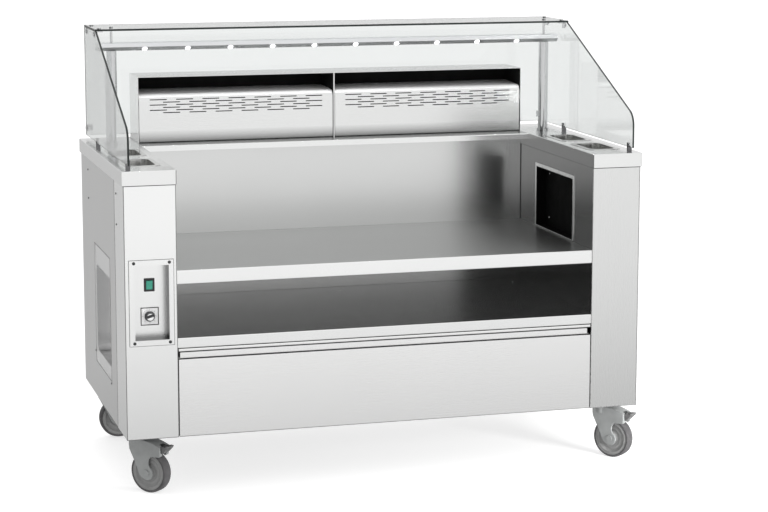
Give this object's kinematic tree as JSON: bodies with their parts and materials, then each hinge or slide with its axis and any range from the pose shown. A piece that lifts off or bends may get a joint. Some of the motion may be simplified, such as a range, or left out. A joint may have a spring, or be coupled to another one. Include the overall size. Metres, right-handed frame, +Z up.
{
  "type": "food service trolley",
  "caption": "Wheeled food service counter with worktop, shelf, drawer, filter hood, glass screen, lamp rail, pans and swivel casters.",
  "frame": {"origin": "on the floor under the middle of the trolley", "axes": "+X to the right seen from the cook's open side, +Y towards the guests' side, +Z up"},
  "size_m": [1.6165, 0.836, 1.343],
  "materials": {
    "front_skin": "fine vertical brushing",
    "skin": "fine brushing",
    "worktop_steel": "fine brushing along the length",
    "inner_steel": "satin",
    "zinc_steel": "zinc plated",
    "pan_steel": "satin pressed",
    "glass": "clear toughened, ground edges",
    "dark_metal": "satin black",
    "chrome": "polished",
    "rail_aluminium": "satin anodised",
    "lamp_lens": "clear lens over a white lamp",
    "black_plastic": "fine grain",
    "switch_green": "translucent",
    "dial_white": "printed plate",
    "fork_grey": "smooth moulded",
    "pedal_grey": "ribbed",
    "wheel_grey": "smooth moulded",
    "tyre_grey": "thermoplastic rubber",
    "cast_plate": "enamelled"
  },
  "bodies": {
    "trolley": {"left_front_panel": "front_skin", "right_front_panel": "front_skin", "control_recess": "front_skin", "outer_panels": "skin", "column_caps": "skin", "rear_panel": "skin", "side_recesses": "skin", "bay_recesses": "skin", "inner_panels": "inner_steel", "back_panel": "inner_steel", "hood_housing": "inner_steel", "base_tray": "inner_steel", "worktop": "worktop_steel", "lower_shelf": "worktop_steel", "ledge": "worktop_steel", "base_frame": "zinc_steel", "drawer_rails": "zinc_steel", "fan_housing": "zinc_steel", "caster_mounts": "zinc_steel", "top_glass": "glass", "rear_glass": "glass", "side_glasses": "glass", "glass_clamps": "dark_metal", "bay_plates": "dark_metal", "glass_connectors": "chrome", "light_posts": "chrome", "panel_screws": "chrome", "light_rail": "rail_aluminium", "led_lamps": "lamp_lens", "switch_bezel": "black_plastic", "cable_gland": "black_plastic", "lamp_driver": "black_plastic", "dial_plate": "dial_white", "fan_motor": "cast_plate"},
    "front_left_caster": {"front_left_fork": "fork_grey"},
    "front_left_wheel": {"front_left_wheel_core": "wheel_grey", "front_left_tyre": "tyre_grey"},
    "front_left_brake": {"front_left_brake_pedal": "pedal_grey"},
    "front_right_caster": {"front_right_fork": "fork_grey"},
    "front_right_wheel": {"front_right_wheel_core": "wheel_grey", "front_right_tyre": "tyre_grey"},
    "front_right_brake": {"front_right_brake_pedal": "pedal_grey"},
    "rear_left_caster": {"rear_left_fork": "fork_grey"},
    "rear_left_wheel": {"rear_left_wheel_core": "wheel_grey", "rear_left_tyre": "tyre_grey"},
    "rear_right_caster": {"rear_right_fork": "fork_grey"},
    "rear_right_wheel": {"rear_right_wheel_core": "wheel_grey", "rear_right_tyre": "tyre_grey"},
    "fan_rotor": {"fan_impeller": "black_plastic"},
    "switch": {"switch_rocker": "switch_green"},
    "knob": {"control_knob": "black_plastic"},
    "left_cassette": {"left_filter_cassette": "worktop_steel"},
    "left_front_well": {"left_front_pan": "pan_steel"},
    "left_back_well": {"left_back_pan": "pan_steel"},
    "right_cassette": {"right_filter_cassette": "worktop_steel"},
    "right_front_well": {"right_front_pan": "pan_steel"},
    "right_back_well": {"right_back_pan": "pan_steel"},
    "drawer": {"drawer_front": "front_skin", "drawer_box": "inner_steel"},
    "drawer_runners": {"drawer_slides": "zinc_steel"}
  },
  "joints": [
    {"name": "front_left_swivel", "type": "hinge", "parent": "trolley", "child": "front_left_caster", "pos_m": [-0.736, -0.29, 0.178], "axis": [0, 0, 1], "continuous": true},
    {"name": "front_left_roll", "type": "hinge", "parent": "front_left_caster", "child": "front_left_wheel", "pos_m": [-0.7096, -0.31733, 0.0625], "axis": [0.7193, 0.6947, 0], "continuous": true},
    {"name": "front_left_brake_press", "type": "hinge", "parent": "front_left_caster", "child": "front_left_brake", "pos_m": [-0.6839, -0.34395, 0.131], "axis": [0.7193, 0.6947, 0], "range_deg": [0, 8]},
    {"name": "front_right_swivel", "type": "hinge", "parent": "trolley", "child": "front_right_caster", "pos_m": [0.736, -0.29, 0.178], "axis": [0, 0, 1], "continuous": true},
    {"name": "front_right_roll", "type": "hinge", "parent": "front_right_caster", "child": "front_right_wheel", "pos_m": [0.7594, -0.31994, 0.0625], "axis": [0.788, 0.6157, 0], "continuous": true},
    {"name": "front_right_brake_press", "type": "hinge", "parent": "front_right_caster", "child": "front_right_brake", "pos_m": [0.78217, -0.3491, 0.131], "axis": [0.788, 0.6157, 0], "range_deg": [0, 8]},
    {"name": "rear_left_swivel", "type": "hinge", "parent": "trolley", "child": "rear_left_caster", "pos_m": [-0.736, 0.358, 0.178], "axis": [0, 0, 1], "continuous": true},
    {"name": "rear_left_roll", "type": "hinge", "parent": "rear_left_caster", "child": "rear_left_wheel", "pos_m": [-0.698, 0.358, 0.0625], "axis": [0, 1, 0], "continuous": true},
    {"name": "rear_right_swivel", "type": "hinge", "parent": "trolley", "child": "rear_right_caster", "pos_m": [0.736, 0.358, 0.178], "axis": [0, 0, 1], "continuous": true},
    {"name": "rear_right_roll", "type": "hinge", "parent": "rear_right_caster", "child": "rear_right_wheel", "pos_m": [0.69929, 0.36784, 0.0625], "axis": [-0.2588, -0.9659, 0], "continuous": true},
    {"name": "fan_spin", "type": "hinge", "parent": "trolley", "child": "fan_rotor", "pos_m": [0, 0.3, 0.62], "axis": [0, 1, 0], "continuous": true},
    {"name": "switch_rock", "type": "hinge", "parent": "trolley", "child": "switch", "pos_m": [-0.716, -0.3712, 0.634], "axis": [1, 0, 0], "range_deg": [-14, 0]},
    {"name": "knob_turn", "type": "hinge", "parent": "trolley", "child": "knob", "pos_m": [-0.716, -0.3752, 0.541], "axis": [0, 1, 0], "range_deg": [-150, 150]},
    {"name": "left_cassette_pull", "type": "slide", "parent": "trolley", "child": "left_cassette", "axis": [0, -1, 0], "range_m": [0, 0.2]},
    {"name": "left_front_pan_lift", "type": "slide", "parent": "trolley", "child": "left_front_well", "axis": [0, 0, 1], "range_m": [0, 0.12]},
    {"name": "left_back_pan_lift", "type": "slide", "parent": "trolley", "child": "left_back_well", "axis": [0, 0, 1], "range_m": [0, 0.12]},
    {"name": "right_cassette_pull", "type": "slide", "parent": "trolley", "child": "right_cassette", "axis": [0, -1, 0], "range_m": [0, 0.2]},
    {"name": "right_front_pan_lift", "type": "slide", "parent": "trolley", "child": "right_front_well", "axis": [0, 0, 1], "range_m": [0, 0.12]},
    {"name": "right_back_pan_lift", "type": "slide", "parent": "trolley", "child": "right_back_well", "axis": [0, 0, 1], "range_m": [0, 0.12]},
    {"name": "drawer_pull", "type": "slide", "parent": "trolley", "child": "drawer", "axis": [0, -1, 0], "range_m": [0, 0.42]},
    {"name": "runner_travel", "type": "slide", "parent": "trolley", "child": "drawer_runners", "axis": [0, -1, 0], "range_m": [0, 0.21]}
  ],
  "couplings": [
    {"joint": "runner_travel", "follows": "drawer_pull", "ratio": 0.5}
  ]
}
